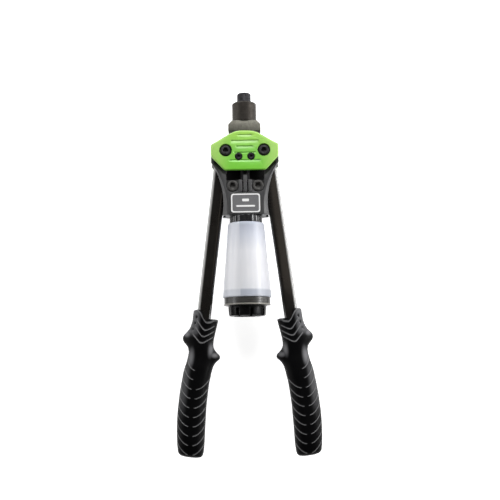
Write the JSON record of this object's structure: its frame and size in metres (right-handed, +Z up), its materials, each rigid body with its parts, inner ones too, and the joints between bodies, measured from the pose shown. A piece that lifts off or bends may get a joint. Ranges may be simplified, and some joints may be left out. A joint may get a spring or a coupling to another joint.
{
  "type": "hand riveter",
  "caption": "Two-handed lever riveter with a steel nose barrel, green head covers, long arms with moulded grips and a frosted mandrel bottle.",
  "frame": {"origin": "centre of the footprint, on the surface the tool lies on", "axes": "+Y along the tool out of the nose, +Z up out of the front cover, +X across the levers"},
  "size_m": [0.1688, 0.4293, 0.0574],
  "materials": {
    "cast_black": "satin black paint on cast metal",
    "cover_green": "lime green moulded plastic, semi-gloss",
    "badge": "grey plate with a white raised border",
    "black_oxide": "black oxide steel",
    "machined_steel": "turned steel",
    "black_plastic": "glossy black moulded plastic",
    "forged_steel": "forged steel, oiled",
    "bronze": "sintered bronze",
    "arm_black": "glossy black paint on steel tube",
    "grip_rubber": "matt black moulded rubber",
    "collar_steel": "bead-blasted steel, grey-brown",
    "dark_steel": "dark blackened steel",
    "frosted_plastic": "frosted translucent plastic",
    "cap_black": "matt black moulded plastic",
    "seal_rubber": "black rubber"
  },
  "bodies": {
    "head": {"front_frame": "cast_black", "rear_frame": "cast_black", "front_cover": "cover_green", "rear_cover": "cover_green", "badge_plate": "badge", "pivot_bolts": "black_oxide", "pivot_nuts": "black_oxide", "cover_screws_front": "black_oxide", "cover_screws_rear": "black_oxide", "body_bolts": "black_oxide", "body_nuts": "black_oxide", "anchor_block": "machined_steel", "pull_tube": "black_oxide", "tube_lock_nut": "machined_steel", "jaw_case": "machined_steel", "neck_ring": "black_plastic", "jaw_spring": "machined_steel"},
    "lever_left": {"lever_left": "forged_steel", "pivot_bush_left": "bronze", "pivot_washers_left": "machined_steel", "arm_tube_left": "arm_black", "grip_left": "grip_rubber"},
    "lever_right": {"lever_right": "forged_steel", "pivot_bush_right": "bronze", "pivot_washers_right": "machined_steel", "arm_tube_right": "arm_black", "grip_right": "grip_rubber"},
    "nose_barrel": {"barrel_yoke": "collar_steel", "nose_sleeve": "dark_steel", "nosepiece": "black_oxide"},
    "jaw_pusher": {"jaw_pusher": "machined_steel"},
    "jaw_1": {"jaw_1": "dark_steel"},
    "jaw_2": {"jaw_2": "dark_steel"},
    "jaw_3": {"jaw_3": "dark_steel"},
    "collector_bottle": {"collector_bottle": "frosted_plastic", "closure_ring": "black_plastic"},
    "collector_cap": {"end_cap": "cap_black", "cap_seal": "seal_rubber"}
  },
  "joints": [
    {"name": "lever_left_pivot", "type": "hinge", "parent": "head", "child": "lever_left", "pos_m": [-0.0225, 0.1414, 0.0287], "axis": [0, 0, -1], "range_deg": [-2.5, 52]},
    {"name": "lever_right_pivot", "type": "hinge", "parent": "head", "child": "lever_right", "pos_m": [0.0225, 0.1414, 0.0287], "axis": [0, 0, 1], "range_deg": [-2.5, 52]},
    {"name": "nose_barrel_slide", "type": "slide", "parent": "head", "child": "nose_barrel", "axis": [0, -1, 0], "range_m": [-0.0006, 0.01225]},
    {"name": "jaw_pusher_slide", "type": "slide", "parent": "head", "child": "jaw_pusher", "axis": [0, -1, 0], "range_m": [0, 0.002], "stiffness_N_per_m": 1500, "springref_m": -0.004, "deforming": ["jaw_spring"]},
    {"name": "jaw_1_slide", "type": "slide", "parent": "head", "child": "jaw_1", "axis": [0.2311, -0.9729, 0], "range_m": [0, 0.0021]},
    {"name": "jaw_2_slide", "type": "slide", "parent": "head", "child": "jaw_2", "axis": [-0.1155, -0.9729, -0.2001], "range_m": [0, 0.0021]},
    {"name": "jaw_3_slide", "type": "slide", "parent": "head", "child": "jaw_3", "axis": [-0.1155, -0.9729, 0.2001], "range_m": [0, 0.0021]},
    {"name": "bottle_slide", "type": "slide", "parent": "head", "child": "collector_bottle", "axis": [0, -1, 0], "range_m": [0, 0.012]},
    {"name": "cap_twist", "type": "hinge", "parent": "collector_bottle", "child": "collector_cap", "pos_m": [0, -0.0386, 0.0287], "axis": [0, 1, 0], "range_deg": [0, 90]}
  ],
  "couplings": [
    {"joint": "lever_right_pivot", "follows": "lever_left_pivot", "ratio": 1},
    {"joint": "nose_barrel_slide", "follows": "lever_left_pivot", "m_per_rad": 0.01348},
    {"joint": "jaw_1_slide", "follows": "jaw_pusher_slide", "ratio": 1.0278},
    {"joint": "jaw_2_slide", "follows": "jaw_pusher_slide", "ratio": 1.0278},
    {"joint": "jaw_3_slide", "follows": "jaw_pusher_slide", "ratio": 1.0278}
  ]
}
